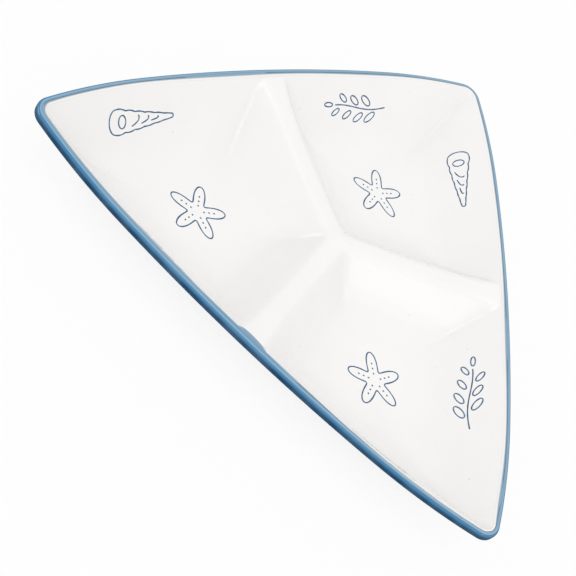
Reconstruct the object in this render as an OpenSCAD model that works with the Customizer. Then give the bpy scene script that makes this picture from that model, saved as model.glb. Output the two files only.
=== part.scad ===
// Three-well serving dish: a bowed triangle with one well in each corner,
// parted by three broad dividers that run from the middle to the sides.
// Z is up, and the dish stands on Z = 0 with its box centred on X and Y.

/* [Outline] */
// Straight distance between the tips of two corners
tip_span = 280; // [240:1:320]
// Radius of the rounded corners, seen from above
corner_r = 9.5; // [8:0.5:12]
// Radius of a side where it bends towards a corner
bend_r = 331; // [290:1:360]
// Turn of a side from its middle to the bend, in degrees
middle_turn = 4.6; // [4.2:0.1:5.2]
// Turn of the bend up to the rounded corner, in degrees
bend_turn = 9.9; // [9:0.1:10.8]

/* [Wells] */
// Depth of a well below the rim
well_depth = 28; // [23:0.5:33]
// Slope of the outer walls, in degrees from level
wall_slope = 49; // [45:1:55]
// Radius of the turn from the walls to the floor
floor_r = 26; // [18:1:32]
// Radius of the creases where two walls meet
crease_r = 3.2; // [1.6:0.2:5]
// Distance in from the lip at which the creases have their full radius
crease_run_w = 14; // [8:1:20]

/* [Dividers] */
// Width across the top of a divider, towards the middle
divider_w = 10; // [8:0.2:14]
// Width across the top of a divider, at the lip
divider_end_w = 20; // [15:0.5:25]
// Slope of a divider's flanks, in degrees from level
divider_slope = 51; // [47:1:57]
// Depth of a divider's top below the rim, at the lip
divider_end_depth = 0.8; // [0.7:0.1:2]
// Depth of the dividers' tops below the rim, where they meet
divider_mid_depth = 8.6; // [6:0.2:11]
// Radius of a divider's shoulders
shoulder_r = 4.6; // [2:0.2:7]

/* [Shell] */
// Thickness of the floor
floor_t = 5.4; // [4:0.2:8]
// Thickness of the sloping wall
wall_t = 4.2; // [3.8:0.1:4.4]
// Width of the hollow under each divider
hollow_w = 27; // [20:1:32]
// Height of the hollow under each divider
hollow_h = 13; // [6:0.5:16]
// Length over which the hollow fades out towards a side
hollow_fade_len = 16; // [10:1:24]
// Radius of the turn from the outside wall to the base
base_r = 7; // [4:0.5:10]

/* [Lip and glaze band] */
// Width of the lip
lip_w = 4.4; // [4:0.1:5.4]
// Rounding of the lip's edges
lip_r = 1.8; // [1.3:0.1:2]
// Height of the lip's upright outer face
lip_h = 3.8; // [3.5:0.1:4.6]
// Thickness of the coloured glaze on the lip
glaze_t = 0.4; // [0.3:0.05:0.6]
// Clearance between that glaze and the body
glaze_gap = 0.05; // [0.03:0.01:0.1]

/* [Foot ring] */
// Height of the foot ring
foot_h = 2.4; // [1.6:0.1:4]
// Width of the foot ring
foot_w = 5; // [3:0.5:7]
// Distance of the foot ring from the edge of the base
foot_set = 7; // [6:0.5:10]
// Corner radius of the foot ring, seen from above
foot_corner_r = 17; // [12:0.5:22]

/* [Prints] */
// Width of a printed line
line_w = 0.9; // [0.6:0.05:1.2]
// Thickness of a printed line
line_t = 0.15; // [0.1:0.05:0.25]
// Height of a printed line above the glaze below it
line_gap = 0.2; // [0.15:0.01:0.3]
// Length of a printed shell
snail_len = 38; // [30:1:44]
// Width of a printed shell at its mouth
snail_w = 14; // [11:0.5:16]
// Breadth of a printed starfish
star_d = 31; // [24:1:36]
// Length of a printed sprig of seaweed
weed_len = 42; // [34:1:48]
// Length of a leaf on the sprig
leaf_len = 8.4; // [6:0.2:9]

/* [Hidden] */

// Share of the creases' softness that is left at the lip.
lip_soft_share = 0.1;
sectors = 3;
sector = 360 / sectors;
half_sector = sector / 2;

// The outline's half side, from its middle to the tip of the corner, turns by
// half a sector: a flat arc, a bend, and the corner, each tangent to the next.
side_turn = middle_turn + bend_turn;
flat_r = (tip_span / 2 - bend_r * (sin(side_turn) - sin(middle_turn))
    - corner_r * (sin(half_sector) - sin(side_turn))) / sin(middle_turn);
tip_drop = flat_r * (1 - cos(middle_turn)) + bend_r * (cos(middle_turn) - cos(side_turn))
    + corner_r * (cos(side_turn) - cos(half_sector));
side_reach = tip_span / 2 / tan(half_sector) + tip_drop;
tip_reach = tip_span / 2 / sin(half_sector);
flat_c = [0, flat_r - side_reach];
bend_c = flat_c + (flat_r - bend_r) * [sin(middle_turn), -cos(middle_turn)];
tip_dir = [sin(half_sector), -cos(half_sector)];
corner_c = (tip_reach - corner_r) * tip_dir;

// The inner wall leaves the lip's rounding where their slopes agree.
lip_flat_in = lip_w - lip_r;
lip_in = lip_flat_in + lip_r * sin(wall_slope);
lip_low = lip_r * (1 - cos(wall_slope));
wall_drop = wall_t / cos(wall_slope);
under_in = lip_in + (lip_h - lip_low - wall_drop) / tan(wall_slope);
rim_z = foot_h + floor_t + well_depth;
base_in = lip_in + (well_depth + floor_t - lip_low - wall_drop) / tan(wall_slope);
foot_in = base_in + foot_set;
hollow_end = foot_in + foot_w;
well_reach = (side_reach - lip_in) / (sin(half_sector) + cos(half_sector));
box_shift = (tip_reach - side_reach) / 2;

// Steps of the mesh: along a half side, along a divider, and down into a well.
flat_shares = [0, 0.05, 0.1, 0.16, 0.24, 0.36, 0.52, 0.75, 1];
bend_shares = [0.25, 0.5, 0.75, 1];
corner_shares = [0.16, 0.33, 0.5, 0.67, 0.84, 1];
ridge_shares = [0, 0.035, 0.09, 0.155, 0.215, 0.27, 0.32, 0.42, 0.55, 0.68, 0.8, 0.9, 1];
top_shares = [0, 0.05, 0.09, 0.13, 0.18, 0.24, 0.31, 0.38, 0.45, 0.52, 0.6, 0.7, 0.83, 1];
under_shares = [0, 0.05, 0.14, 0.24, 0.34, 0.42, 0.5, 0.6, 0.78, 1];
inner_arc_steps = 2;
outer_arc_steps = 3;

function mix(a, b, t) = a + (b - a) * t;
function step_soft(t) = let (c = max(0, min(1, t))) c * c * (3 - 2 * c);
function sum(v) = v * [for (x = v) 1];
function turned(p, a) = [p.x * cos(a) - p.y * sin(a), p.x * sin(a) + p.y * cos(a)];

// Largest of some heights, with the turn from one to the next rounded: the sum of their
// exponentials takes over from the larger within a few times a softness. That softness
// gives a turn its radius, where the two slopes differ by a rise.
function soft_max(v, soft) =
    let (m = max(v)) m + soft * ln(sum([for (x = v) exp((x - m) / soft)]));
function soft_min(v, soft) = -soft_max(-v, soft);
function softness(r, rise) = r * rise * rise / 4 / pow(1 + rise * rise / 4, 3 / 2);
floor_soft = softness(floor_r, tan(wall_slope));
crease_soft = softness(crease_r, tan(wall_slope) * sqrt(2));
shoulder_soft = softness(shoulder_r, tan(divider_slope));
base_soft = softness(base_r, tan(wall_slope));

// Points along a half side at an inset, its corner rounded with radius r. The corner's
// circle is centred on the tip's line and touches the bend or, far in, the flat arc.
function corner_touching(arc_c, reach) =
    let (along = tip_dir * arc_c)
    (along + sqrt(along * along - arc_c * arc_c + reach * reach)) * tip_dir;
function turn_at(arc_c, p) = atan2(p.x - arc_c.x, arc_c.y - p.y);
function half_side(inset, r) =
    let (
        at_bend = corner_touching(bend_c, bend_r - inset - r),
        bent = turn_at(bend_c, at_bend) > middle_turn,
        round_c = bent ? at_bend : corner_touching(flat_c, flat_r - inset - r),
        turn = turn_at(bent ? bend_c : flat_c, round_c),
        flat_end = bent ? middle_turn : turn,
        arcs = concat(
            [for (s = flat_shares) [flat_c, flat_r - inset, flat_end * s]],
            [for (s = bent ? bend_shares : [])
                [bend_c, bend_r - inset, mix(middle_turn, turn, s)]],
            [for (s = corner_shares) [round_c, r, mix(turn, half_sector, s)]])
    )
    [for (a = arcs) let (out = [sin(a[2]), -cos(a[2])]) a[0] + a[1] * out];

// Whole outline at an inset, anticlockwise from the middle of the first side.
half_steps = len(flat_shares) + len(bend_shares) + len(corner_shares) - 1;
function mirrored(p) = turned([-p.x, p.y], sector);
function outline(inset, r) =
    let (half = half_side(inset, r))
    [for (k = [0:sectors - 1])
        each concat(
            [for (p = half) turned(p, k * sector)],
            [for (i = [len(half) - 2:-1:1]) turned(mirrored(half[i]), k * sector)])];
ring_n = sectors * 2 * half_steps;

// Distance inwards from a side, whose middle lies at [0, -side_reach].
function side_inset(p) =
    let (q = [abs(p.x), p.y], turn = atan2(q.x, flat_c.y - q.y))
    turn < middle_turn ? flat_r - norm(q - flat_c) : bend_r - norm(q - bend_c);

// Turn from the nearest divider, from zero to half a sector.
function divider_turn(p) =
    let (a = atan2(p.x, -p.y), k = round(a / sector)) abs(a - k * sector);
function polar(r, a) = r * [sin(a), -cos(a)];

// Distance inwards from the whole rounded outline.
function rim_inset(p) =
    let (
        q = polar(norm(p), divider_turn(p)),
        v = q - corner_c,
        in_corner = norm(v) > 0 && atan2(v.x, -v.y) > side_turn && v.x > 0
    )
    in_corner ? corner_r - norm(v) : side_inset(q);

// Heights below are measured from the rim.
function wall_z(inset) = -lip_low - (inset - lip_in) * tan(wall_slope);

// Outer walls: true to the rounded outline at the lip, a soft crease further in.
function walls_z(p) =
    let (
        d = rim_inset(p),
        r = norm(p),
        a = divider_turn(p),
        near = wall_z(side_inset(polar(r, a))),
        far = wall_z(side_inset(polar(r, sector - a))),
        share = step_soft((d - lip_in) / crease_run_w)
    )
    mix(wall_z(d), soft_max([near, far], crease_soft), share);

// One divider, at a turn from its line: a top that falls to the middle and widens next
// to the lip, and a flank.
function divider_z(r, a) =
    let (
        off = a < 90 ? r * sin(a) : r,
        share = max(0, r * cos(a)) / side_reach,
        top = -mix(divider_mid_depth, divider_end_depth, pow(share, 2)),
        width = mix(divider_w, divider_end_w, pow(share, 9)),
        flank = top - (off - width / 2) * tan(divider_slope)
    )
    soft_min([top, flank], shoulder_soft);

function top_z(p) =
    let (
        d = rim_inset(p),
        r = norm(p),
        a = divider_turn(p),
        soft = crease_soft * mix(lip_soft_share, 1, step_soft((d - lip_in) / crease_run_w)),
        sides = soft_max([walls_z(p), divider_z(r, a), divider_z(r, sector - a)], soft)
    )
    soft_max([sides, -well_depth], floor_soft);

function under_z(p) =
    let (
        d = rim_inset(p),
        r = norm(p),
        off = r * sin(divider_turn(p)),
        base = soft_max([walls_z(p) - wall_drop, -well_depth - floor_t], base_soft),
        fade = step_soft((d - hollow_end) / hollow_fade_len)
    )
    base + hollow_h * step_soft(1 - off / (hollow_w / 2)) * fade;

// Lip in cross-section, as [inset, height]: its inner round, which is part of the wall,
// and the way from an inset over the top and down the outer face, some way below them.
inner_round = [for (i = [0:inner_arc_steps])
    let (a = mix(90 - wall_slope, 90, i / inner_arc_steps))
    [lip_flat_in + lip_r * cos(a), lip_r * (sin(a) - 1)]];
function lip_path(inset, below) =
    let (
        r = lip_r - below,
        outer = [for (i = [0:outer_arc_steps])
            let (a = mix(90, 180, i / outer_arc_steps))
            [lip_r + r * cos(a), r * sin(a) - lip_r]]
    )
    concat([[inset, -below]], outer, [[below, -lip_h]]);

function ring_at(section_pt) =
    [for (p = outline(section_pt.x, corner_r - section_pt.x))
        [p.x, p.y - box_shift, rim_z + section_pt.y]];

// Faces of a band between rings that follow one another over the lip.
function band_faces(rows, closed) =
    [for (j = [0:rows - (closed ? 1 : 2)], i = [0:ring_n - 1])
        let (
            a = ((j + 1) % rows) * ring_n,
            b = j * ring_n,
            n = (i + 1) % ring_n
        )
        each [[a + i, b + i, b + n], [a + i, b + n, a + n]]];

// A well's cell is bounded by the lip and by two divider lines. Its mesh runs from
// that edge to the middle of the well, in rows that follow the edge.
ridge_n = len(ridge_shares) - 1;
edge_n = 2 * half_steps + 2 * ridge_n;
function well_mid(k) = turned(well_reach * tip_dir, k * sector);
function ridge_pt(k, i, inset) =
    turned([0, -(side_reach - inset) * (1 - ridge_shares[i])], k * sector);
function edge_pt(k, b, rim, inset) =
    let (back = b - 2 * half_steps)
    back <= 0 ? rim[(2 * k * half_steps + b) % ring_n]
        : back <= ridge_n ? ridge_pt(k + 1, back, inset)
        : ridge_pt(k, 2 * ridge_n - back, inset);
function edge_id(k, b, row, base) =
    let (back = b - 2 * half_steps, m = 2 * ridge_n - back)
    back <= 0 ? row * ring_n + (2 * k * half_steps + b) % ring_n
        : back == ridge_n ? base
        : back < ridge_n ? base + 1 + ((k + 1) % sectors) * (ridge_n - 1) + back - 1
        : base + 1 + k * (ridge_n - 1) + m - 1;

// Points of one face of the dish inside its edge ring, as [x, y]: the middle, the
// divider lines, the rows of each cell and the middle of each well.
function face_pts(inset, shares) =
    let (rim = outline(inset, corner_r - inset), rows = len(shares) - 1)
    concat(
        [[0, 0]],
        [for (k = [0:sectors - 1], i = [1:ridge_n - 1]) ridge_pt(k, i, inset)],
        [for (k = [0:sectors - 1], j = [1:rows - 1], b = [0:edge_n - 1])
            mix(edge_pt(k, b, rim, inset), well_mid(k), shares[j])],
        [for (k = [0:sectors - 1]) well_mid(k)]);

// Faces of the cells. The two halves of a cell, on either side of its tip, are cut into
// triangles as mirror images.
function face_mesh(row, base, rows) =
    let (
        cells = base + 1 + sectors * (ridge_n - 1),
        mids = cells + sectors * (rows - 1) * edge_n
    )
    [for (k = [0:sectors - 1], j = [0:rows - 1], b = [0:edge_n - 1])
        let (
            c = (b + 1) % edge_n,
            start = cells + (k * (rows - 1) + j) * edge_n,
            out_b = j == 0 ? edge_id(k, b, row, base) : start - edge_n + b,
            out_c = j == 0 ? edge_id(k, c, row, base) : start - edge_n + c,
            far_half = b >= half_steps && b < 2 * half_steps + ridge_n
        )
        each j == rows - 1 ? [[out_b, mids + k, out_c]]
            : far_half ? [[out_b, start + b, out_c], [start + b, start + c, out_c]]
            : [[out_b, start + b, start + c], [out_b, start + c, out_c]]];

module dish_body() {
    seat = lip_path(lip_flat_in, glaze_t + glaze_gap);
    section = concat(inner_round, seat, [[under_in, -lip_h]]);
    rows = len(section);
    top_rows = len(top_shares) - 1;
    under_rows = len(under_shares) - 1;
    top_pts = [for (p = face_pts(lip_in, top_shares))
        [p.x, p.y - box_shift, rim_z + top_z(p)]];
    under_pts = [for (p = face_pts(under_in, under_shares))
        [p.x, p.y - box_shift, rim_z + under_z(p)]];
    top_base = rows * ring_n;
    under_base = top_base + len(top_pts);
    top_faces = face_mesh(0, top_base, top_rows);
    under_faces = [for (f = face_mesh(rows - 1, under_base, under_rows)) [f[0], f[2], f[1]]];
    color("whitesmoke")
        polyhedron(
            concat([for (s = section) each ring_at(s)], top_pts, under_pts),
            concat(band_faces(rows, false), top_faces, under_faces));
}

module lip_band() {
    face = lip_path(lip_flat_in - glaze_gap, 0);
    seat = lip_path(lip_flat_in - glaze_gap, glaze_t);
    section = concat(face, [for (i = [len(seat) - 1:-1:0]) seat[i]]);
    color("steelblue")
        polyhedron(
            [for (s = section) each ring_at(s)],
            band_faces(len(section), true));
}

module foot_ring() {
    color("wheat")
        translate([0, -box_shift, 0])
            linear_extrude(foot_h)
                difference() {
                    polygon(outline(foot_in, foot_corner_r));
                    polygon(outline(foot_in + foot_w, foot_corner_r - foot_w));
                }
}

// Place of a print: [middle, way along, way across], seen from above. The slope
// under it foreshortens the way across.
function print_place(mid, along, slope) =
    [mid, polar(1, along), polar(cos(slope), along + 90)];
wall_mid_in = (lip_in + base_in) / 2;
function wall_place(k, turn) =
    let (
        a = abs(turn),
        arc_c = a < middle_turn ? flat_c : bend_c,
        p = arc_c + ((a < middle_turn ? flat_r : bend_r) - wall_mid_in) * [sin(a), -cos(a)],
        q = [p.x * sign(turn), p.y]
    )
    print_place(turned(q, k * sector), 90 + turn + k * sector, wall_slope);
function laid(spot, p, up) =
    let (q = spot[0] + p.x * spot[1] + p.y * spot[2])
    [q.x, q.y - box_shift, rim_z + top_z(q) + up];

// A printed line along a path drawn flat, laid on the dish at a place.
module printed_line(spot, path, closed) {
    n = len(path);
    last = closed ? n - 1 : n - 2;
    pts = [for (i = [0:n - 1])
        let (
            before = closed ? path[(i + n - 1) % n] : path[max(i - 1, 0)],
            after = closed ? path[(i + 1) % n] : path[min(i + 1, n - 1)],
            way = (after - before) / norm(after - before),
            side = line_w / 2 * [-way.y, way.x]
        )
        each [
            laid(spot, path[i] + side, line_gap),
            laid(spot, path[i] - side, line_gap),
            laid(spot, path[i] - side, line_gap + line_t),
            laid(spot, path[i] + side, line_gap + line_t)]];
    walls = [for (i = [0:last], c = [0:3])
        let (a = 4 * i, b = 4 * ((i + 1) % n), d = (c + 1) % 4)
        each [[a + c, b + d, b + c], [a + c, a + d, b + d]]];
    e = 4 * (n - 1);
    ends = closed ? [] : [[0, 2, 1], [0, 3, 2], [e, e + 1, e + 2], [e, e + 2, e + 3]];
    polyhedron(pts, concat(walls, ends));
}

// A tall coiled shell: an outline from tip to mouth, a band at each whorl and an oval
// mouth. Half widths and places along it are shares of the shell's size.
whorl_n = 6;
shell_steps = 18;
shell_lip_steps = 6;
band_steps = 4;
mouth_steps = 10;
shell_tip_share = 0.12;
shell_swell_share = 0.1;
shell_body_share = 0.9;
mouth_place_share = 0.8;
mouth_size_shares = [0.055, 0.24];
band_lean_share = 0.05;
shell_turn_share = 0.36;
function shell_half_w(t) = snail_w / 2 * mix(shell_tip_share, 1, t)
    * (1 + shell_swell_share * abs(sin(180 * whorl_n * t / shell_body_share)));
function shell_outline() =
    let (
        end_w = shell_half_w(shell_body_share),
        side = [for (i = [1:shell_steps])
            let (t = shell_body_share * i / shell_steps)
            [snail_len * (t - 1 / 2), shell_half_w(t)]],
        round_end = [for (i = [1:shell_lip_steps - 1])
            let (a = 90 - 180 * i / shell_lip_steps)
            [snail_len * (mix(shell_body_share, 1, cos(a)) - 1 / 2), end_w * sin(a)]]
    )
    concat([[-snail_len / 2, 0]], side, round_end,
        [for (i = [shell_steps - 1:-1:0]) [side[i].x, -side[i].y]]);
function shell_band(j) =
    let (t = shell_body_share * j / whorl_n, h = shell_half_w(t) - 2 * line_w)
    [for (i = [-band_steps:2:band_steps])
        let (c = i / band_steps)
        [snail_len * (t - 1 / 2 + band_lean_share * (c + c * c - 1)), h * c]];

module shell_print(k) {
    spot = wall_place(k, side_turn * shell_turn_share);
    color("slategray") {
        printed_line(spot, shell_outline(), true);
        for (j = [2:whorl_n - 2])
            printed_line(spot, shell_band(j), false);
        printed_line(spot, [for (i = [0:mouth_steps - 1])
            let (a = 360 * i / mouth_steps)
            [snail_len * (mouth_place_share + mouth_size_shares[0] * cos(a) - 1 / 2),
                snail_w * mouth_size_shares[1] * sin(a)]], true);
    }
}

// A starfish: five round arms, each with a row of short dashes.
arms = 5;
star_steps = 50;
star_waist_share = 0.36;
arm_power = 1.25;
dash_shares = [0.24, 0.42, 0.6];
star_angle = 25;
star_turn_angle = 17;

module starfish_print(k) {
    spot = print_place(well_mid(k), k * (sector + star_turn_angle) + star_angle, 0);
    color("slategray") {
        printed_line(spot, [for (i = [0:star_steps - 1])
            let (
                a = 360 * i / star_steps,
                swell = pow((1 + cos(arms * a)) / 2, arm_power)
            )
            star_d / 2 * mix(star_waist_share, 1, swell) * polar(1, a)], true);
        for (i = [0:arms - 1], s = dash_shares)
            let (a = 360 * i / arms)
            printed_line(spot, [for (end = [-1, 1])
                (star_d / 2 * s + end * line_w / 2) * polar(1, a)], false);
    }
}

// A sprig of seaweed: a waved stem, with leaves by turns on either side and one at
// its tip, each clear of the stem.
stem_steps = 12;
stem_share = 0.84;
stem_wave_share = 0.028;
leaves = 7;
leaf_steps = 10;
leaf_first_share = 0.1;
leaf_space_share = 0.1;
leaf_angle = 40;
leaf_w_share = 0.22;
leaf_taper_share = 0.35;
weed_turn_share = 0.24;
function stem_pt(t) = weed_len * [t - 1 / 2, stem_wave_share * sin(360 * t)];
function leaf_path(root, lean, size) =
    let (way = [cos(lean), sin(lean)], side = [-way.y, way.x])
    [for (i = [0:leaf_steps - 1])
        let (a = 360 * i / leaf_steps)
        root + size * ((1 - cos(a)) / 2 * way + leaf_w_share * sin(a) * side)];

module seaweed_print(k) {
    spot = wall_place(k + 1, -side_turn * weed_turn_share);
    stand_off = 4 * line_w;
    color("slategray") {
        printed_line(spot, [for (i = [0:stem_steps]) stem_pt(stem_share * i / stem_steps)],
            false);
        for (j = [0:leaves - 1])
            let (
                lean = leaf_angle * (j % 2 == 0 ? 1 : -1),
                root = stem_pt(leaf_first_share + leaf_space_share * j),
                size = leaf_len * (1 - leaf_taper_share * j / leaves)
            )
            printed_line(spot, leaf_path(root + stand_off * [cos(lean), sin(lean)], lean, size),
                true);
        printed_line(spot, leaf_path(stem_pt(stem_share) + [2 * line_w, 0], 0,
            leaf_len * (1 - leaf_taper_share)), true);
    }
}

dish_body();
lip_band();
foot_ring();
shell_print(0);  // shell_print_a
shell_print(1);  // shell_print_b
shell_print(2);  // shell_print_c
starfish_print(0);  // starfish_print_a
starfish_print(1);  // starfish_print_b
starfish_print(2);  // starfish_print_c
seaweed_print(0);  // seaweed_print_a
seaweed_print(1);  // seaweed_print_b
seaweed_print(2);  // seaweed_print_c
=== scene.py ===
import math

import bmesh
import bpy
import numpy as np
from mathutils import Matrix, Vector


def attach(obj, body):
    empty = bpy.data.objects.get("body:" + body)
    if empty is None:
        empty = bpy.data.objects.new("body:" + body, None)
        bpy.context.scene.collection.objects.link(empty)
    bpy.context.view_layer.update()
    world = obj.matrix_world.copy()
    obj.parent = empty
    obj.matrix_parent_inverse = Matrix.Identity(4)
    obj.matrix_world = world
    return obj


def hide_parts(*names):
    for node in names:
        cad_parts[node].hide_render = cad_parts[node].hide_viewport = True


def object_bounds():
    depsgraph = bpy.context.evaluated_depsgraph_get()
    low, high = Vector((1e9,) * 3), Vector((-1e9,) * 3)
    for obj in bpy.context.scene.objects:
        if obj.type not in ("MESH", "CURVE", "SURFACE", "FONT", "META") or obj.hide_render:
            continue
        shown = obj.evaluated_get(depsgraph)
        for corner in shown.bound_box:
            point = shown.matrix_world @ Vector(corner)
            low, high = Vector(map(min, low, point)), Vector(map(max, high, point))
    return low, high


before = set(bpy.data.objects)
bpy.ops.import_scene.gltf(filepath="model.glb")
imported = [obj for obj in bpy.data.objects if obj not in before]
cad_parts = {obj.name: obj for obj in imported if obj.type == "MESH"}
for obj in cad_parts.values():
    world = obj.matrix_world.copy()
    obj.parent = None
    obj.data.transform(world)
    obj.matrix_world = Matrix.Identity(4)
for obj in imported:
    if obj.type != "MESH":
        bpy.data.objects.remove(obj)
cad_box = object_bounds()
mm = 0.001
scene = bpy.context.scene
scene.view_settings.view_transform = "Standard"

# Camera. It looks down on the dish from the middle of one long side, rolled so that a
# corner points to the lower right. Its place is measured from the middle of the rim.
LENS_MM = 81.25
SENSOR_MM = 36.0
CAMERA_FROM_RIM = np.array([-22.9, -471.3, 426.9]) * mm
CAMERA_TURN = (34.286, -29.799, 33.392)
CORNERS = 3
SECTOR = 360 / CORNERS
TIP_SPAN = 280 * mm

box_high = cad_box[1]
rim_z = box_high[2]
tip_reach = TIP_SPAN / 2 / math.sin(math.radians(SECTOR / 2))
middle_y = box_high[1] - tip_reach


def add_camera():
    """A camera at CAMERA_FROM_RIM from the middle of the rim, turned about X, Y and Z."""
    data = bpy.data.cameras.new("camera")
    data.lens = LENS_MM
    data.sensor_width = SENSOR_MM
    camera = bpy.data.objects.new("camera", data)
    camera.location = CAMERA_FROM_RIM + np.array([0, middle_y, rim_z])
    camera.rotation_euler = [math.radians(a) for a in CAMERA_TURN]
    scene.collection.objects.link(camera)
    scene.camera = camera


add_camera()

# Stage: a plain white table in an even white room under one wide soft lamp. Panels that
# only the glaze mirrors give its highlights: each has a place, a width and height, and a
# radiance. The table looks white and keeps a faint shadow under the dish.
TABLE_SIZE = 6.0
TABLE_WHITE = (0.86, 0.86, 0.86, 1)
TABLE_MIRRORED = (0.2, 0.2, 0.2, 1)
TABLE_ROUGHNESS = 0.9
TABLE_SPECULAR = 0.1
TABLE_GLOW_SHARE = 0.85
ROOM_STRENGTH = 0.89
ROOM_GLOSS = 0.6
LAMP_SHARE = 0.24
LAMP_HEIGHT = 64
LAMP_TURN = -86
LAMP_SPREAD = 50
PANELS = {"panel_right": ([1.14, -0.81, 0.90], (0.47, 0.51), 0.42),
          "panel_right_inner": ([1.13, -0.82, 0.90], (0.41, 0.45), 0.5),
          "panel_right_core": ([1.12, -0.83, 0.90], (0.36, 0.39), 0.3),
          "panel_right_high": ([1.13, -0.35, 1.16], (0.36, 0.25), 1.4),
          "panel_left": ([-1.22, -0.3, 0.54], (0.76, 0.42), 2.8),
          "panel_top": ([0, 0.02, 1.3], (0.7, 0.4), 0.8),
          "panel_front": ([0, -0.57, 1.28], (0.9, 0.5), 1.6)}


def new_material(name):
    """A node material with a Principled node alone: itself, its tree and that node."""
    material = bpy.data.materials.new(name)
    material.use_nodes = True
    tree = material.node_tree
    tree.nodes.clear()
    surface = tree.nodes.new("ShaderNodeOutputMaterial").inputs["Surface"]
    shader = tree.nodes.new("ShaderNodeBsdfPrincipled")
    tree.links.new(shader.outputs["BSDF"], surface)
    return material, tree, shader


def mixed(tree, kind, share, first, second):
    """A Mix node of a data type, whose sockets are its own two inputs and its output:
    first at share 0, second at share 1. Each of the three is a socket or a constant."""
    node = tree.nodes.new("ShaderNodeMix")
    node.data_type = kind
    node.clamp_factor = True
    sockets = {"RGBA": (6, 7, 2), "FLOAT": (2, 3, 0)}[kind]
    for at, value in ((0, share), (sockets[0], first), (sockets[1], second)):
        if isinstance(value, bpy.types.NodeSocket):
            tree.links.new(value, node.inputs[at])
        else:
            node.inputs[at].default_value = value
    return node.outputs[sockets[2]]


def add_table():
    """A wide plane at the foot's level. Seen by the camera it is a mix of its own glow of
    strength 1 and its lit surface; it lights the dish as plain white, and is dimmer in
    the glaze's reflections."""
    mesh = bpy.data.meshes.new("table")
    half = TABLE_SIZE / 2
    corners = [(-half, -half, 0), (half, -half, 0), (half, half, 0), (-half, half, 0)]
    mesh.from_pydata(corners, [], [(0, 1, 2, 3)])
    table = bpy.data.objects.new("table", mesh)
    scene.collection.objects.link(table)
    material, tree, shader = new_material("table_white")
    shader.inputs["Roughness"].default_value = TABLE_ROUGHNESS
    shader.inputs["Specular IOR Level"].default_value = TABLE_SPECULAR
    glow = tree.nodes.new("ShaderNodeEmission")
    glow.inputs["Strength"].default_value = 1
    rays = tree.nodes.new("ShaderNodeLightPath")
    tree.links.new(mixed(tree, "RGBA", rays.outputs["Is Glossy Ray"], TABLE_WHITE,
                         TABLE_MIRRORED), shader.inputs["Base Color"])
    seen = tree.nodes.new("ShaderNodeMath")
    seen.operation = "MULTIPLY"
    seen.inputs[1].default_value = TABLE_GLOW_SHARE
    tree.links.new(rays.outputs["Is Camera Ray"], seen.inputs[0])
    surface = shader.outputs["BSDF"].links[0].to_socket
    blend = tree.nodes.new("ShaderNodeMixShader")
    tree.links.new(blend.outputs[0], surface)
    tree.links.new(seen.outputs[0], blend.inputs[0])
    tree.links.new(shader.outputs["BSDF"], blend.inputs[1])
    tree.links.new(glow.outputs["Emission"], blend.inputs[2])
    table.data.materials.append(material)


def add_room():
    """The room's even light, white to the camera and dimmer in the glaze."""
    world = bpy.data.worlds.new("room")
    scene.world = world
    world.use_nodes = True
    tree = world.node_tree
    background = tree.nodes["Background"]
    background.inputs["Color"].default_value = (1, 1, 1, 1)
    rays = tree.nodes.new("ShaderNodeLightPath")
    lit = mixed(tree, "FLOAT", rays.outputs["Is Glossy Ray"], ROOM_STRENGTH, ROOM_GLOSS)
    strength = mixed(tree, "FLOAT", rays.outputs["Is Camera Ray"], lit, 1.0)
    tree.links.new(strength, background.inputs["Strength"])


def add_panels():
    """The panels as area lights that face the dish and light it by reflection alone. The
    energy of each is its radiance times pi times its area."""
    for name, (place, size, radiance) in PANELS.items():
        data = bpy.data.lights.new(name, "AREA")
        data.shape = "RECTANGLE"
        data.size, data.size_y = size
        data.energy = radiance * math.pi * size[0] * size[1]
        panel = bpy.data.objects.new(name, data)
        panel.location = place
        panel.rotation_euler = Vector(place).to_track_quat("Z", "Y").to_euler()
        panel.visible_diffuse = False
        scene.collection.objects.link(panel)


def add_lamp():
    """The wide lamp as a soft sun that the glaze doesn't mirror. It adds LAMP_SHARE to the
    light on a white that faces it, and shines from a height and a turn from +X."""
    data = bpy.data.lights.new("lamp", "SUN")
    data.energy = LAMP_SHARE * math.pi
    data.angle = math.radians(LAMP_SPREAD)
    lamp = bpy.data.objects.new("lamp", data)
    height, turn = math.radians(LAMP_HEIGHT), math.radians(LAMP_TURN)
    way = Vector((math.cos(height) * math.cos(turn), math.cos(height) * math.sin(turn),
                  math.sin(height)))
    lamp.rotation_euler = way.to_track_quat("Z", "Y").to_euler()
    lamp.visible_glossy = False
    scene.collection.objects.link(lamp)


add_table()
add_room()
add_panels()
add_lamp()

# Outline. Each side is a flat arc, bends towards the corners, and turns there with a
# small radius. All lengths are the dish's own, in metres, and angles are in degrees.
CORNER_R = 9.5 * mm
BEND_R = 331 * mm
MIDDLE_TURN = 4.6
BEND_TURN = 9.9
FLAT_STEPS = 30
BEND_STEPS = 14
CORNER_STEPS = 14
FLAT_POWER = 1.5


def sin(a):
    """The sine of an angle in degrees."""
    return np.sin(np.radians(a))


def cos(a):
    """The cosine of an angle in degrees."""
    return np.cos(np.radians(a))


def tan(a):
    """The tangent of an angle in degrees."""
    return np.tan(np.radians(a))


def polar(r, a):
    """Points at distance r and turn a from the first divider, which points to -Y."""
    return np.stack([r * sin(a), -r * cos(a)], axis=-1)


def turned(points, a):
    """Points turned anticlockwise about the middle by a degrees."""
    x, y = points[..., 0], points[..., 1]
    return np.stack([x * cos(a) - y * sin(a), x * sin(a) + y * cos(a)], axis=-1)


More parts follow.
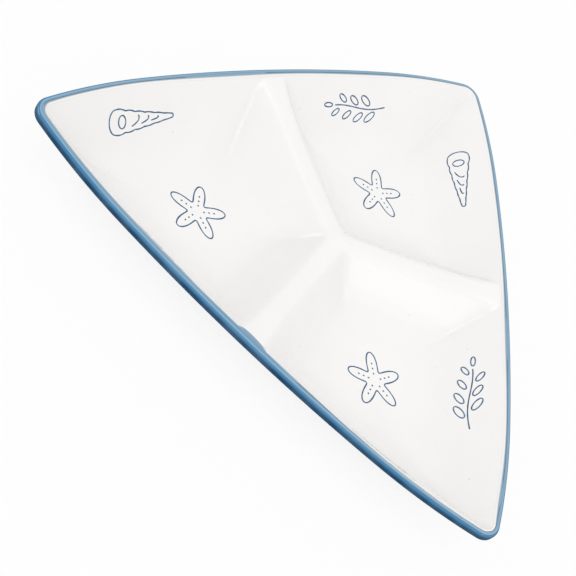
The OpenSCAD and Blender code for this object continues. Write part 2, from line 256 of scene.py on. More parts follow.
half_sector = SECTOR / 2
side_turn = MIDDLE_TURN + BEND_TURN
flat_r = (TIP_SPAN / 2 - BEND_R * (sin(side_turn) - sin(MIDDLE_TURN))
          - CORNER_R * (sin(half_sector) - sin(side_turn))) / sin(MIDDLE_TURN)
tip_drop = (flat_r * (1 - cos(MIDDLE_TURN)) + BEND_R * (cos(MIDDLE_TURN) - cos(side_turn))
            + CORNER_R * (cos(side_turn) - cos(half_sector)))
side_reach = TIP_SPAN / 2 / tan(half_sector) + tip_drop
flat_c = np.array([0, flat_r - side_reach])
bend_c = flat_c + (flat_r - BEND_R) * polar(1, MIDDLE_TURN)
tip_dir = polar(1, half_sector)
corner_c = (tip_reach - CORNER_R) * tip_dir


def half_side(inset, r):
    """Points along a half side at an inset, the corner rounded with radius r. The
    corner's circle is centred on the tip's line and touches the bend."""
    along = tip_dir @ bend_c
    reach = BEND_R - inset - r
    round_c = (along + math.sqrt(along ** 2 - bend_c @ bend_c + reach ** 2)) * tip_dir
    turn = math.degrees(math.atan2(round_c[0] - bend_c[0], bend_c[1] - round_c[1]))
    flat = MIDDLE_TURN * np.linspace(0, 1, FLAT_STEPS + 1) ** FLAT_POWER
    bend = np.linspace(MIDDLE_TURN, turn, BEND_STEPS + 1)[1:]
    corner = np.linspace(turn, half_sector, CORNER_STEPS + 1)[1:]
    return np.concatenate([flat_c + polar(flat_r - inset, flat),
                           bend_c + polar(BEND_R - inset, bend),
                           round_c + polar(r, corner)])


def outline(inset, r):
    """The whole outline at an inset, anticlockwise from the middle of the first side."""
    half = half_side(inset, r)
    back = turned(half[-2:0:-1] * [-1, 1], SECTOR)
    return np.concatenate([turned(np.concatenate([half, back]), k * SECTOR)
                           for k in range(CORNERS)])


def side_inset(p):
    """Distance inwards from the side whose middle lies at -Y."""
    q = np.stack([np.abs(p[..., 0]), p[..., 1]], axis=-1)
    turn = np.degrees(np.arctan2(q[..., 0], flat_c[1] - q[..., 1]))
    return np.where(turn < MIDDLE_TURN, flat_r - np.linalg.norm(q - flat_c, axis=-1),
                    BEND_R - np.linalg.norm(q - bend_c, axis=-1))


def divider_turn(p):
    """Turn from the nearest divider, from 0 to half a sector."""
    a = np.degrees(np.arctan2(p[..., 0], -p[..., 1]))
    return np.abs(a - SECTOR * np.round(a / SECTOR))


def rim_inset(p):
    """Distance inwards from the whole rounded outline."""
    q = polar(np.linalg.norm(p, axis=-1), divider_turn(p))
    v = q - corner_c
    in_corner = (np.degrees(np.arctan2(v[..., 0], -v[..., 1])) > side_turn) & (v[..., 0] > 0)
    return np.where(in_corner, CORNER_R - np.linalg.norm(v, axis=-1), side_inset(q))


# Body: one cast stoneware piece with three wells and the dividers between them, under a
# glossy off-white glaze. Its face is the highest of the outer walls, the dividers and
# the floor, with each turn rounded as slip and glaze leave it.
WELL_DEPTH = 28 * mm
WALL_SLOPE = 49
FLOOR_R = 26 * mm
CREASE_R = 3.2 * mm
CREASE_RUN = 14 * mm
LIP_SOFT_SHARE = 0.1
DIVIDER_W = 10 * mm
DIVIDER_END_W = 20 * mm
DIVIDER_SLOPE = 51
DIVIDER_END_DEPTH = 0.8 * mm
DIVIDER_MID_DEPTH = 8.6 * mm
DIVIDER_FALL_POWER = 2
DIVIDER_FLARE_POWER = 9
SHOULDER_R = 4.6 * mm
FLOOR_T = 5.4 * mm
WALL_T = 4.2 * mm
HOLLOW_W = 27 * mm
HOLLOW_H = 13 * mm
HOLLOW_FADE = 16 * mm
BASE_R = 7 * mm
LIP_W = 4.4 * mm
LIP_R = 1.8 * mm
LIP_H = 3.8 * mm
INNER_ROUND_STEPS = 15
OUTER_ROUND_STEPS = 13
BAND_T = 0.4 * mm
BAND_GAP = 0.05 * mm
BAND_IN = 2.6 * mm
FOOT_W = 5 * mm
FOOT_SET = 7 * mm
DIVIDER_STEPS = 36
DIVIDER_POWER = 1.25
TOP_ROWS = [0, 16, 76, 136]
TOP_ROW_SHARES = [0, 0.055, 0.18, 1]
UNDER_ROWS = 26
GLAZE_WHITE = (0.88, 0.872, 0.858, 1)
GLAZE_SHADE = (0.866, 0.856, 0.842, 1)
GLAZE_SPECK = (0.7, 0.66, 0.6, 1)
GLAZE_ROUGHNESS = 0.15
GLAZE_IOR = 1.5
CLOUD_SCALE = 22
CLOUD_RANGE = (0.35, 0.65)
SPECK_SCALE = 520
SPECK_RANGE = (0.78, 0.84)
PEEL_SCALE = 38
PEEL_H = 0.25 * mm
WAVE_H = 0.12 * mm
WAVE_LEN = 40 * mm
WAVES = ((1.7, 0.6, 0.4), (-0.9, 2.3, 2.1), (3.1, 1.9, 1.2), (-2.2, 3.7, 0))
MERGE_DISTANCE = 0.001 * mm
SHARP_TURN = 60

lip_in = LIP_W - LIP_R + LIP_R * sin(WALL_SLOPE)
lip_low = LIP_R * (1 - cos(WALL_SLOPE))
wall_drop = WALL_T / cos(WALL_SLOPE)
under_in = lip_in + (LIP_H - lip_low - wall_drop) / tan(WALL_SLOPE)
base_in = lip_in + (WELL_DEPTH + FLOOR_T - lip_low - wall_drop) / tan(WALL_SLOPE)
foot_in = base_in + FOOT_SET
hollow_end = foot_in + FOOT_W
well_reach = (side_reach - lip_in) / (sin(half_sector) + cos(half_sector))
top_shares = np.interp(np.arange(TOP_ROWS[-1] + 1), TOP_ROWS, TOP_ROW_SHARES)
under_shares = np.linspace(0, 1, UNDER_ROWS + 1)


def soft_step(t):
    """0 up to t = 0, 1 from t = 1, and a smooth rise between."""
    c = np.clip(t, 0, 1)
    return c * c * (3 - 2 * c)


def soft_max(heights, soft):
    """The largest height, with the turns rounded: soft times the logarithm of the sum of
    the exponentials of the heights over soft."""
    top = np.maximum.reduce(heights)
    return top + soft * np.log(sum(np.exp((h - top) / soft) for h in heights))


def softness(r, rise):
    """The softness that gives a turn the radius r where two slopes differ by a rise: r
    times q over 1 + q to the power 1.5, where q is a quarter of the rise squared."""
    q = rise ** 2 / 4
    return r * q / (1 + q) ** 1.5


floor_soft = softness(FLOOR_R, tan(WALL_SLOPE))
crease_soft = softness(CREASE_R, tan(WALL_SLOPE) * math.sqrt(2))
shoulder_soft = softness(SHOULDER_R, tan(DIVIDER_SLOPE))
base_soft = softness(BASE_R, tan(WALL_SLOPE))


def wall_z(inset):
    """Height of the plain outer wall below the rim, at an inset."""
    return -lip_low - (inset - lip_in) * tan(WALL_SLOPE)


def walls_z(p):
    """Outer walls: true to the rounded outline at the lip, a soft crease further in."""
    d = rim_inset(p)
    r, a = np.linalg.norm(p, axis=-1), divider_turn(p)
    near = wall_z(side_inset(polar(r, a)))
    far = wall_z(side_inset(polar(r, SECTOR - a)))
    share = soft_step((d - lip_in) / CREASE_RUN)
    return wall_z(d) * (1 - share) + soft_max([near, far], crease_soft) * share


def divider_z(r, a):
    """One divider, at a turn from its line: a top that falls and narrows from the rim to
    the middle with powers of the distance, and a flank."""
    off = np.where(a < 90, r * sin(a), r)
    share = np.maximum(0, r * cos(a)) / side_reach
    rise = DIVIDER_MID_DEPTH - DIVIDER_END_DEPTH
    top = -DIVIDER_MID_DEPTH + rise * share ** DIVIDER_FALL_POWER
    width = DIVIDER_W + (DIVIDER_END_W - DIVIDER_W) * share ** DIVIDER_FLARE_POWER
    flank = top - (off - width / 2) * tan(DIVIDER_SLOPE)
    return -soft_max([-top, -flank], shoulder_soft)


def waves(p):
    """Slow unevenness of the cast face: WAVE_H times the mean of sines that each run at
    their own rates along X and Y from their own start. It fades out at the lip."""
    x, y = p[..., 0] / WAVE_LEN, p[..., 1] / WAVE_LEN
    swell = sum(np.sin(u * x + v * y + start) for u, v, start in WAVES) / len(WAVES)
    return WAVE_H * swell * soft_step((rim_inset(p) - lip_in) / CREASE_RUN)


def top_z(p):
    """Height of the dish's face, measured from the rim: the highest of the outer walls,
    the two nearest dividers and the floor, with soft turns, and the waves on it."""
    d = rim_inset(p)
    r, a = np.linalg.norm(p, axis=-1), divider_turn(p)
    share = soft_step((d - lip_in) / CREASE_RUN)
    soft = crease_soft * (LIP_SOFT_SHARE + (1 - LIP_SOFT_SHARE) * share)
    sides = soft_max([walls_z(p), divider_z(r, a), divider_z(r, SECTOR - a)], soft)
    return soft_max([sides, np.full_like(d, -WELL_DEPTH)], floor_soft) + waves(p)


def under_z(p):
    """Height of the underside: the outside walls, the base, and the hollow that follows
    the dividers and fades out inside the foot."""
    d = rim_inset(p)
    off = np.linalg.norm(p, axis=-1) * sin(divider_turn(p))
    base = soft_max([walls_z(p) - wall_drop, np.full_like(d, -WELL_DEPTH - FLOOR_T)],
                    base_soft)
    fade = soft_step((d - hollow_end) / HOLLOW_FADE)
    return base + HOLLOW_H * soft_step(1 - off / (HOLLOW_W / 2)) * fade


def inner_round():
    """The lip's inner round in cross-section as rows of inset and height."""
    a = np.linspace(90 - WALL_SLOPE, 90, INNER_ROUND_STEPS)
    return np.stack([LIP_W - LIP_R + LIP_R * cos(a), LIP_R * (sin(a) - 1)], axis=-1)


def lip_path(below):
    """The lip under the band in cross-section as rows of inset and height, at a depth
    below its face: the top, the outer round and the upright face."""
    r = LIP_R - below
    a = np.linspace(90, 180, OUTER_ROUND_STEPS)
    outer = np.stack([LIP_R + r * cos(a), r * sin(a) - LIP_R], axis=-1)
    return np.concatenate([[[BAND_IN, -below]], outer, [[below, -LIP_H]]])


def lip_ring(inset, height):
    """A ring of points at an inset from the outline and a height from the rim."""
    ring = outline(inset, CORNER_R - inset)
    return np.column_stack([ring, np.full(len(ring), height)])


def grid_faces(rows, columns, closed_rows=False, first=0):
    """Quads between rows of points that close round their columns."""
    j = np.arange(rows if closed_rows else rows - 1)[:, None] * columns
    i = np.arange(columns)[None, :]
    after = (i + 1) % columns
    below = (j + columns) % (rows * columns) if closed_rows else j + columns
    quads = np.stack([j + i, j + after, below + after, below + i], axis=-1)
    return quads.reshape(-1, 4) + first


def cell_edge(k, inset):
    """The edge of well k's cell, anticlockwise: the rim from one divider to the next,
    in along that divider, and out along the first."""
    ring = outline(inset, CORNER_R - inset)
    per = len(ring) // CORNERS
    rim = np.take(ring, np.arange(k * per, (k + 1) * per + 1), axis=0, mode="wrap")
    share = np.linspace(0, 1, DIVIDER_STEPS + 1)[1:] ** DIVIDER_POWER
    spoke = np.stack([np.zeros_like(share), -(side_reach - inset) * (1 - share)], axis=-1)
    return np.concatenate([rim, turned(spoke, (k + 1) * SECTOR),
                           turned(spoke[-2::-1], k * SECTOR)])


def cell_mesh(k, inset, shares, height, rim_height, first):
    """Points and faces of a cell: rows that shrink by shares from its edge to the middle
    of the well. The rim's own points keep the lip's height."""
    edge = cell_edge(k, inset)
    middle = turned(well_reach * tip_dir, k * SECTOR)
    rows = len(shares) - 1
    share = shares[:-1, None, None]
    flat = edge * (1 - share) + middle * share
    z = height(flat)
    z[0, :2 * (FLAT_STEPS + BEND_STEPS + CORNER_STEPS) + 1] = rim_height
    points = np.concatenate([np.concatenate([flat, z[..., None]], axis=-1).reshape(-1, 3),
                             [[*middle, float(height(middle[None])[0])]]])
    faces = grid_faces(rows, len(edge), first=first).tolist()
    last = first + (rows - 1) * len(edge)
    ring = np.arange(len(edge))
    fan = np.stack([last + ring, last + (ring + 1) % len(edge),
                    np.full(len(edge), first + len(points) - 1)], axis=-1)
    return points, faces + fan.tolist()


def new_piece(name, points, faces, node):
    """A smooth mesh piece from points about the middle of the rim. Doubles are merged,
    faces turned outwards, and it stands for a node of the frame."""
    mesh = bpy.data.meshes.new(name)
    mesh.from_pydata((points + [0, middle_y, rim_z]).tolist(), [], faces)
    shape = bmesh.new()
    shape.from_mesh(mesh)
    bmesh.ops.remove_doubles(shape, verts=shape.verts, dist=MERGE_DISTANCE)
    bmesh.ops.recalc_face_normals(shape, faces=shape.faces)
    shape.to_mesh(mesh)
    shape.free()
    mesh.shade_smooth()
    mesh.set_sharp_from_angle(angle=math.radians(SHARP_TURN))
    piece = bpy.data.objects.new(name, mesh)
    scene.collection.objects.link(piece)
    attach(piece, "root")
    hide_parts(node)
    return piece


def noise(tree, scale, detail=3.0):
    """A noise pattern on object coordinates: its value socket, from 0 to 1."""
    place = tree.nodes.new("ShaderNodeTexCoord")
    pattern = tree.nodes.new("ShaderNodeTexNoise")
    pattern.inputs["Scale"].default_value = scale
    pattern.inputs["Detail"].default_value = detail
    tree.links.new(place.outputs["Object"], pattern.inputs["Vector"])
    return pattern.outputs["Fac"]


def ramp(tree, value, span):
    """Of a value socket: 0 at a span's low end, 1 at its high end, smooth between."""
    node = tree.nodes.new("ShaderNodeMapRange")
    node.interpolation_type = "SMOOTHSTEP"
    node.inputs["From Min"].default_value, node.inputs["From Max"].default_value = span
    tree.links.new(value, node.inputs["Value"])
    return node.outputs["Result"]


def add_bump(tree, shader, height, depth):
    """A bump on the shader's normal, from a height socket and its depth in metres."""
    bump = tree.nodes.new("ShaderNodeBump")
    bump.inputs["Strength"].default_value = 1
    bump.inputs["Distance"].default_value = depth
    tree.links.new(height, bump.inputs["Height"])
    tree.links.new(bump.outputs["Normal"], shader.inputs["Normal"])


def white_glaze():
    """Glossy off-white glaze: cloudy by a shade, a few pin specks, and the faint
    orange-peel of a fired gloss."""
    material, tree, shader = new_material("white_glaze")
    cloud = ramp(tree, noise(tree, CLOUD_SCALE), CLOUD_RANGE)
    base = mixed(tree, "RGBA", cloud, GLAZE_SHADE, GLAZE_WHITE)
    speck = ramp(tree, noise(tree, SPECK_SCALE, detail=1.0), SPECK_RANGE)
    tree.links.new(mixed(tree, "RGBA", speck, base, GLAZE_SPECK), shader.inputs["Base Color"])
    shader.inputs["Roughness"].default_value = GLAZE_ROUGHNESS
    shader.inputs["IOR"].default_value = GLAZE_IOR
    add_bump(tree, shader, noise(tree, PEEL_SCALE, detail=2.0), PEEL_H)
    return material


def add_body():
    """The three cells of the face and of the underside, joined by rows over the lip that
    lie under the coloured band."""
    parts, faces = [], []
    total = 0
    for inset, shares, height, rim_height in (
            (lip_in, top_shares, top_z, -lip_low),
            (under_in, under_shares, under_z, -LIP_H)):
        for k in range(CORNERS):
            points, cell = cell_mesh(k, inset, shares, height, rim_height, total)
            parts.append(points)
            faces += cell
            total += len(points)
    seat = lip_path(BAND_T + BAND_GAP)
    section = np.concatenate([inner_round(), seat, [[under_in, -LIP_H]]])
    rings = [lip_ring(*row) for row in section]
    faces += grid_faces(len(rings), len(rings[0]), first=total).tolist()
    body = new_piece("glazed_body", np.concatenate(parts + rings), faces,
                     "dish_body")
    body.data.materials.append(white_glaze())


add_body()

# Lip band: blue glaze brushed round the lip before the last firing. It pools dark on the
# upright face, thins to pale blue at its inner edge, and has run inwards at one divider.
# The lighter blue along its crest is partly thinner glaze and partly a painted highlight.
BAND_MEAN_IN = 3.6 * mm
BAND_NEAR_RUN = 0.55 * mm
BAND_NEAR_LOSS = 3
BAND_NEAR_FALL = 110 * mm
BAND_NEAR_FROM = 60 * mm
BAND_NEAR_TO = 90 * mm
BAND_SWING = 0.125 * mm
BAND_SWING_START = 1
BAND_SWING_X = 17 * mm
BAND_SWING_Y = 13 * mm
BAND_SWING_XY = 29 * mm
BAND_END_RUN = 2.8 * mm
BAND_END_W = 15 * mm
BAND_END_X = -2 * mm
BAND_THIN_RUN = 0.5 * mm
BAND_THIN_W = 35 * mm
BAND_LIFT = 0.14 * mm
BAND_CLEAR = 0.014 * mm
BAND_PAST_EDGE = 0.6 * mm
BAND_PAST_SEAT = 0.4 * mm
BAND_ROWS = 8
BAND_ROUGHNESS = 0.08
COVER_FROM_EDGE = (-0.15, 0.45)
TOP_FROM_EDGE = (0.8, 2.2)
# Where across the band the crest's lighter blue lies: partly thinner glaze, partly a painted
# highlight.
CREST_HIGHLIGHT_ACROSS = (0.1, 0.18)
MID_ACROSS = (0.2, 0.29)
DEEP_ACROSS = (0.34, 0.7)
STREAK_SCALE = 90
STREAK_RANGE = (0.3, 0.7)
STREAK_SHARE = 0.2
STREAK_H = 0.04 * mm
BLUE_DEEP = (0.005, 0.05, 0.12, 1)
BLUE_MID = (0.05, 0.19, 0.36, 1)
# Lighter blue along the crest: thinner glaze over the edge, and a painted highlight.
BLUE_CREST_THIN_AND_HIGHLIGHT = (0.24, 0.45, 0.62, 1)
BLUE_TOP = (0.16, 0.31, 0.46, 1)
BLUE_THIN = (0.27, 0.365, 0.45, 1)


def face_z(p):
    """Height of the dish's face with its lip: the flat top, the inner round, the well."""
    d = rim_inset(p)
    across = np.clip(d - (LIP_W - LIP_R), 0, lip_in - (LIP_W - LIP_R))
    lip = np.sqrt(LIP_R ** 2 - across ** 2) - LIP_R
    return np.where(d < lip_in, lip, top_z(p))


def bell(p, middle, width):
    """1 at a middle point, falling to 0 around it over a width."""
    return np.exp(-np.sum(((p - middle) / width) ** 2, axis=-1))


def band_edge(base):
    """Inset of the colour's inner edge at each point of the outline: a mean with a slow
    swing, more along the first side's left part and at its divider, less along its
    right part and at the corner furthest from it."""
    x, y = base[:, 0], base[:, 1]
    swing = (np.sin(x / BAND_SWING_X + BAND_SWING_START) + np.sin(y / BAND_SWING_Y)
             + np.sin((x - y) / BAND_SWING_XY))
    on_side = soft_step((-y - BAND_NEAR_FROM) / (BAND_NEAR_TO - BAND_NEAR_FROM))
    near = BAND_NEAR_RUN * (1 - BAND_NEAR_LOSS * soft_step(x / BAND_NEAR_FALL)) * on_side
    more = bell(base, [BAND_END_X, -side_reach], BAND_END_W)
    less = bell(base, [0, tip_reach], BAND_THIN_W)
    return (BAND_MEAN_IN + BAND_SWING * swing + near + BAND_END_RUN * more
            - BAND_THIN_RUN * less)


def band_rings():
    """Rings of the band, from its inner edge over the lip and back under it, with the
    distance of each point from the colour's inner edge and its share across."""
    base = outline(0, CORNER_R)
    way = (outline(CORNER_R / 2, CORNER_R / 2) - base) / (CORNER_R / 2)
    edge = band_edge(base)
    reach = np.maximum(edge + BAND_PAST_EDGE, BAND_IN + BAND_PAST_SEAT)
    flow = [BAND_IN + (reach - BAND_IN) * share for share in np.linspace(1, 0, BAND_ROWS + 1)]
    rings, fade, across = [], [], []

    def add(inset, height, share, on_face=False):
        """One more ring, its height measured from the rim or, on the face, from there."""
        inset = np.broadcast_to(inset, len(base))
        flat = base + way * inset[:, None]
        z = np.minimum(face_z(flat) + height, 0) if on_face else np.full(len(base), height)
        rings.append(np.column_stack([flat, z]))
        fade.append(edge - inset)
        across.append(np.full(len(base), share))

    for inset in flow:
        add(inset, BAND_LIFT, 0, on_face=True)
    face = lip_path(0)
    steps = np.concatenate([[0], np.cumsum(np.linalg.norm(np.diff(face, axis=0), axis=-1))])
    for (inset, height), step in zip(face[1:], steps[1:]):
        add(inset, height, step / steps[-1])
    for inset, height in lip_path(BAND_T)[::-1]:
        add(inset, height, 1)
    for inset in flow[::-1]:
        add(inset, BAND_CLEAR, 0, on_face=True)
    return np.array(rings), np.array(fade), np.array(across)


def blue_glaze():
    """Blue glaze by its place on the band: the first coordinate is the distance from its
    inner edge in millimetres, the second runs from the inner to the lower outer edge."""
    material, tree, shader = new_material("blue_glaze")
    place = tree.nodes.new("ShaderNodeUVMap")
    place.uv_map = "band"
    parts = tree.nodes.new("ShaderNodeSeparateXYZ")
    tree.links.new(place.outputs["UV"], parts.inputs["Vector"])
    from_edge, across = parts.outputs["X"], parts.outputs["Y"]
    streak = ramp(tree, noise(tree, STREAK_SCALE), STREAK_RANGE)
    colour = BLUE_THIN
    # The crest's step to a lighter blue is partly a painted highlight.
    for value, span, after in ((from_edge, TOP_FROM_EDGE, BLUE_TOP),
                               (across, CREST_HIGHLIGHT_ACROSS, BLUE_CREST_THIN_AND_HIGHLIGHT),
                               (across, MID_ACROSS, BLUE_MID),
                               (across, DEEP_ACROSS, BLUE_DEEP)):
        colour = mixed(tree, "RGBA", ramp(tree, value, span), colour, after)
    streaky = mixed(tree, "RGBA", streak, colour,
                    mixed(tree, "RGBA", STREAK_SHARE, colour, BLUE_TOP))
    covered = ramp(tree, from_edge, COVER_FROM_EDGE)
    tree.links.new(mixed(tree, "RGBA", covered, GLAZE_WHITE, streaky),
                   shader.inputs["Base Color"])
    shader.inputs["Roughness"].default_value = BAND_ROUGHNESS
    shader.inputs["IOR"].default_value = GLAZE_IOR
    add_bump(tree, shader, streak, STREAK_H)
    return material


def add_band():
    """The band as one closed ring, with its place across written to a UV map."""
    rings, fade, across = band_rings()
    rows, columns = rings.shape[:2]
    points = rings.reshape(-1, 3)
    mesh = bpy.data.meshes.new("blue_lip_band")
    mesh.from_pydata((points + [0, middle_y, rim_z]).tolist(), [],
                     grid_faces(rows, columns, closed_rows=True)[:, ::-1].tolist())
    corners = np.empty(len(mesh.loops), dtype=np.int32)
    mesh.loops.foreach_get("vertex_index", corners)
    values = np.stack([fade.ravel()[corners] / mm, across.ravel()[corners]], axis=-1)
    mesh.uv_layers.new(name="band").data.foreach_set("uv", values.ravel())
    mesh.shade_smooth()
    mesh.set_sharp_from_angle(angle=math.radians(SHARP_TURN))
    band = bpy.data.objects.new("blue_lip_band", mesh)
    scene.collection.objects.link(band)
    mesh.materials.append(blue_glaze())
    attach(band, "root")
    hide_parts("lip_band")


add_band()

# Foot ring: the one place without glaze, where the dish stood in the kiln. Its bare clay
# is ground flat below and rounded at its edges.
FOOT_CORNER_R = 17 * mm
FOOT_ROUND = 0.7 * mm
FOOT_ROUND_STEPS = 5
CLAY = (0.6, 0.51, 0.4, 1)
CLAY_LIGHT = (0.7, 0.62, 0.51, 1)
CLAY_ROUGHNESS = 0.8
MOTTLE_SCALE = 120
MOTTLE_RANGE = (0.35, 0.7)
GRAIN_SCALE = 900
GRAIN_H = 0.08 * mm


def bare_clay():
    """Fired clay: a mottled buff with a fine grain."""
    material, tree, shader = new_material("bare_clay")
    mottle = ramp(tree, noise(tree, MOTTLE_SCALE), MOTTLE_RANGE)
    tree.links.new(mixed(tree, "RGBA", mottle, CLAY, CLAY_LIGHT), shader.inputs["Base Color"])
    shader.inputs["Roughness"].default_value = CLAY_ROUGHNESS
    add_bump(tree, shader, noise(tree, GRAIN_SCALE, detail=4.0), GRAIN_H)
    return material


def add_foot():
    """The ring as rows round its section, from the base down, with quarter-round edges."""
    top, bottom = -WELL_DEPTH - FLOOR_T, -rim_z
    quarter = np.linspace(0, 90, FOOT_ROUND_STEPS)
    outer = [(FOOT_ROUND * (1 - cos(a)), bottom + FOOT_ROUND * (1 - sin(a)))
             for a in quarter]
    inner = [(FOOT_W - x, z) for x, z in outer[::-1]]
    section = [(0, top), *outer, *inner, (FOOT_W, top)]
    rings = []
    for x, z in section:
        ring = outline(foot_in + x, FOOT_CORNER_R - x)
        rings.append(np.column_stack([ring, np.full(len(ring), z)]))
    faces = grid_faces(len(rings), len(rings[0]), closed_rows=True).tolist()
    foot = new_piece("bare_foot_ring", np.concatenate(rings), faces, "foot_ring")
    foot.data.materials.append(bare_clay())


add_foot()

# Prints: thin lines of navy colour fired into the glaze. Each well has a tall shell, a
# starfish and a sprig of seaweed, drawn as separate strokes that don't touch each other.
LINE_W = 0.9 * mm
LINE_H = 0.05 * mm
LINE_SINK = 0.05 * mm
LINE_SWING = (1.1, 0.12, 0.9)
LINE_ACROSS = np.array([0.5, 0.275, 0, -0.275, -0.5, 0])
LINE_UP = np.array([0, 0.8, 1, 0.8, 0, 0])
LINE_DOWN = np.array([1, 0, 0, 0, 1, 1])
SHELL_LEN = 38 * mm
SHELL_W = 14 * mm
SHELL_TIP = 0.12
SHELL_BODY = 0.9
SHELL_SWELL = 0.1
SHELL_WHORLS = 6
SHELL_SIDE_STEPS = 60
SHELL_END_STEPS = 16
WHORL_STEPS = 12
WHORL_LEAN = 0.05
WHORL_GAP = 2 * LINE_W
MOUTH_AT = 0.3
MOUTH_LEN = 0.055
MOUTH_W = 0.24
STAR_D = 31 * mm
STAR_ARMS = 5
STAR_STEPS = 120
STAR_HUB = 0.36
STAR_ARM_POWER = 1.25
STAR_DASHES = (0.24, 0.42, 0.6)
STAR_DASH_LEN = LINE_W
WEED_LEN = 42 * mm
WEED_WAVE = 0.028
WEED_STEM_END = 0.84
STEM_STEPS = 40
LEAVES = 7
LEAF_LEN = 8.4 * mm
LEAF_W = 0.22
LEAF_LEAN = 40
LEAF_STEP = 0.1
LEAF_GAP = 4 * LINE_W
END_LEAF_GAP = 2 * LINE_W
LEAF_SHRINK = 0.35
OVAL_STEPS = 24
SHELL_PLACE = 0.36
WEED_PLACE = 0.24
STAR_TURN = 25
STAR_TURN_STEP = 17
PRINT_NAVY = (0.025, 0.085, 0.19, 1)
PRINT_PALE = (0.07, 0.165, 0.31, 1)
PRINT_ROUGHNESS = 0.12
UNEVEN_SCALE = 300
UNEVEN_RANGE = (0.35, 0.75)
PRINT_BUMP_SCALE = 260
PRINT_BUMP_H = 0.012 * mm

wall_mid_in = (lip_in + base_in) / 2
oval_turns = np.arange(OVAL_STEPS) * 360 / OVAL_STEPS


def print_place(mid, along, slope):
    """Where a print lies: its middle, the way along it, and the way across, which the
    slope under it foreshortens."""
    return mid, polar(1, along), polar(cos(slope), along + 90)


def wall_place(k, turn):
    """A place half way up an outer wall, at a turn along its side."""
    a = abs(turn)
    arc_c, arc_r = (flat_c, flat_r) if a < MIDDLE_TURN else (bend_c, BEND_R)
    p = (arc_c + polar(arc_r - wall_mid_in, a)) * [np.sign(turn), 1]
    return print_place(turned(p, k * SECTOR), 90 + turn + k * SECTOR, WALL_SLOPE)


def printed_line(spot, path, closed):
    """Points and faces of a line along a flat path: a low arch, round in section, whose
    underside lies just inside the glaze. Its width swings about a mean from point to
    point, as a brush's does."""
    path = np.asarray(path)
    if closed:
        way = np.roll(path, -1, axis=0) - np.roll(path, 1, axis=0)
    else:
        way = np.gradient(path, axis=0)
    way = way / np.linalg.norm(way, axis=-1, keepdims=True)
    side = np.stack([-way[:, 1], way[:, 0]], axis=-1)
    mean, swing, step = LINE_SWING
    width = LINE_W * (mean + swing * np.sin(np.arange(len(path)) * step))
    up = LINE_UP * LINE_H - LINE_DOWN * LINE_SINK
    flat = path[:, None] + side[:, None] * (LINE_ACROSS * width[:, None])[..., None]
    mid, along, over = spot
    q = mid + flat[..., :1] * along + flat[..., 1:] * over
    points = np.concatenate([q, (top_z(q) + up)[..., None]], axis=-1)
    faces = grid_faces(len(path), len(up), closed_rows=closed).tolist()
    if not closed:
        first = np.arange(len(up))
        faces += [first[::-1].tolist(), (first + (len(path) - 1) * len(up)).tolist()]
    return points.reshape(-1, 3), faces


def shell_half_w(t):
    """Half width of a shell at a share of its length, with a swell at each whorl."""
    swell = 1 + SHELL_SWELL * np.abs(sin(180 * SHELL_WHORLS * t / SHELL_BODY))
    return SHELL_W / 2 * (SHELL_TIP + (1 - SHELL_TIP) * t) * swell


def shell_lines():
    """A shell: its outline from tip to mouth, a band at each whorl and an oval mouth."""
    t = np.linspace(0, SHELL_BODY, SHELL_SIDE_STEPS + 1)[1:]
    side = np.stack([SHELL_LEN * (t - 0.5), shell_half_w(t)], axis=-1)
    a = np.linspace(90, -90, SHELL_END_STEPS + 1)[1:-1]
    end = np.stack([SHELL_LEN * (SHELL_BODY + (1 - SHELL_BODY) * cos(a) - 0.5),
                    shell_half_w(SHELL_BODY) * sin(a)], axis=-1)
    tip = [[-SHELL_LEN / 2, 0]]
    yield np.concatenate([tip, side, end, side[::-1] * [1, -1]]), True
    for j in range(2, SHELL_WHORLS - 1):
        t = SHELL_BODY * j / SHELL_WHORLS
        c = np.linspace(-1, 1, WHORL_STEPS + 1)
        half = shell_half_w(t) - WHORL_GAP
        lean = WHORL_LEAN * (c + c * c - 1)
        yield np.stack([SHELL_LEN * (t - 0.5 + lean), half * c], axis=-1), False
    yield np.stack([SHELL_LEN * (MOUTH_AT + MOUTH_LEN * cos(oval_turns)),
                    SHELL_W * MOUTH_W * sin(oval_turns)], axis=-1), True


def star_lines():
    """A starfish: round arms, each with a row of short dashes. Its radius swells from the
    hub's share to the whole with (1 + cos(arms * turn)) / 2 to a power."""
    a = np.arange(STAR_STEPS) * 360 / STAR_STEPS
    swell = ((1 + cos(STAR_ARMS * a)) / 2) ** STAR_ARM_POWER
    yield polar(STAR_D / 2 * (STAR_HUB + (1 - STAR_HUB) * swell), a), True
    for i in range(STAR_ARMS):
        for share in STAR_DASHES:
            r = STAR_D / 2 * share + np.array([-0.5, 0, 0.5]) * STAR_DASH_LEN
            yield polar(r, 360 / STAR_ARMS * i), False


def leaf(root, lean, size):
    """A leaf's outline: an oval from its root, along its lean."""
    way = np.array([cos(lean), sin(lean)])
    side = np.array([-sin(lean), cos(lean)])
    along = (1 - cos(oval_turns))[:, None] / 2
    return root + size * (along * way + LEAF_W * sin(oval_turns)[:, None] * side)


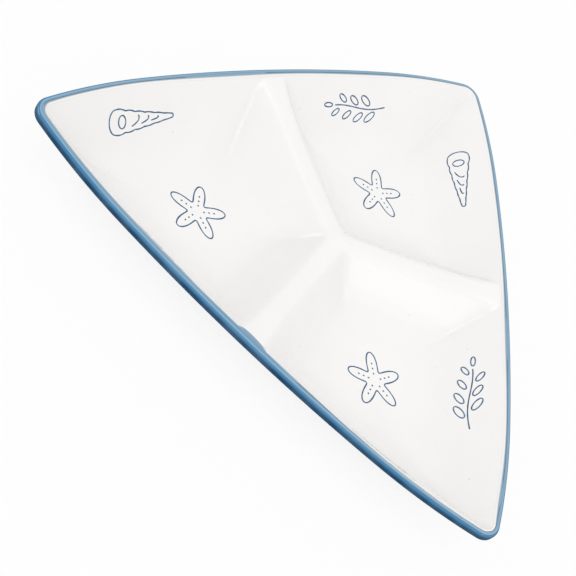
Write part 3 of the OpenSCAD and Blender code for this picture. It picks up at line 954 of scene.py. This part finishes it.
def stem(t):
    """A point of the sprig's waved stem."""
    return WEED_LEN * np.stack([t - 0.5, WEED_WAVE * sin(360 * t)], axis=-1)


def weed_lines():
    """A sprig of seaweed: a stem, leaves by turns on either side, and one at its tip."""
    yield stem(np.linspace(0, WEED_STEM_END, STEM_STEPS + 1)), False
    for j in range(LEAVES):
        lean = LEAF_LEAN if j % 2 == 0 else -LEAF_LEAN
        gap = LEAF_GAP * np.array([cos(lean), sin(lean)])
        size = LEAF_LEN * (1 - LEAF_SHRINK * j / LEAVES)
        yield leaf(stem(np.array(LEAF_STEP * (j + 1))) + gap, lean, size), True
    end = stem(np.array(WEED_STEM_END)) + [END_LEAF_GAP, 0]
    yield leaf(end, 0, LEAF_LEN * (1 - LEAF_SHRINK)), True


def print_colour():
    """Navy ceramic colour under the glaze's own gloss, a little uneven in strength."""
    material, tree, shader = new_material("print_colour")
    uneven = ramp(tree, noise(tree, UNEVEN_SCALE, detail=2.0), UNEVEN_RANGE)
    tree.links.new(mixed(tree, "RGBA", uneven, PRINT_NAVY, PRINT_PALE),
                   shader.inputs["Base Color"])
    shader.inputs["Roughness"].default_value = PRINT_ROUGHNESS
    add_bump(tree, shader, noise(tree, PRINT_BUMP_SCALE, detail=1.0), PRINT_BUMP_H)
    return material


def add_print(name, spot, lines, material):
    """One motif's lines joined in one piece."""
    parts, faces, total = [], [], 0
    for path, closed in lines:
        points, quads = printed_line(spot, path, closed)
        faces += [[v + total for v in face] for face in quads]
        parts.append(points)
        total += len(points)
    piece = new_piece(f"navy_{name}", np.concatenate(parts), faces, name)
    piece.data.materials.append(material)


navy = print_colour()
for k, letter in enumerate("abc"):
    shell_spot = wall_place(k, side_turn * SHELL_PLACE)
    add_print(f"shell_print_{letter}", shell_spot, shell_lines(), navy)
    star_spot = print_place(turned(well_reach * tip_dir, k * SECTOR),
                            STAR_TURN + k * (SECTOR + STAR_TURN_STEP), 0)
    add_print(f"starfish_print_{letter}", star_spot, star_lines(), navy)
    weed_spot = wall_place(k + 1, -side_turn * WEED_PLACE)
    add_print(f"seaweed_print_{letter}", weed_spot, weed_lines(), navy)
